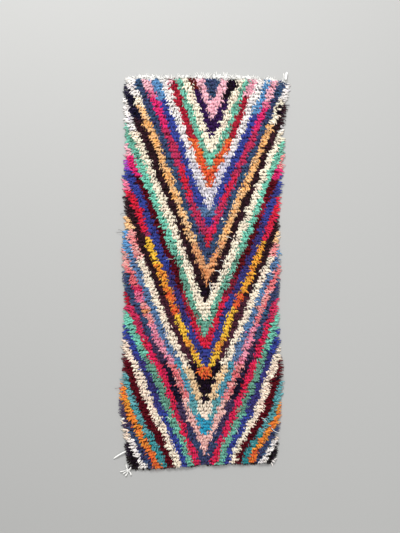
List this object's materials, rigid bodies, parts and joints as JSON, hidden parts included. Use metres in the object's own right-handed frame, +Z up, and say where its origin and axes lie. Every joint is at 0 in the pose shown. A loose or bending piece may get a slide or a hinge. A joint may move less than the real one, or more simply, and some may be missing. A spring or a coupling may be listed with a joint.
{
  "type": "boucherouite rug",
  "caption": "Flat shaggy rag-pile runner with nested chevron stripes, locks along its edges, a short warp fringe and a knotted corner tassel.",
  "frame": {"origin": "centre of the whole outline, fringe and tassel included, on the floor under the rug", "axes": "+Y along the rug's length, away from the points of the chevrons; +X across its width; +Z up from the floor to the pile"},
  "size_m": [1.0754, 2.4588, 0.0346],
  "materials": {
    "rag_pile": "shaggy cut rag and wool pile in nested chevron stripes",
    "edge_rag": "loose rag locks in the stripes' dyes",
    "warp_cotton": "undyed plied cotton warp, slightly frayed"
  },
  "bodies": {
    "root": {"pile_field": "rag_pile", "left_edge_locks": "edge_rag", "right_edge_locks": "edge_rag", "bottom_edge_locks": "edge_rag", "top_warp_fringe": "warp_cotton", "corner_tassel": "warp_cotton"}
  },
  "joints": []
}
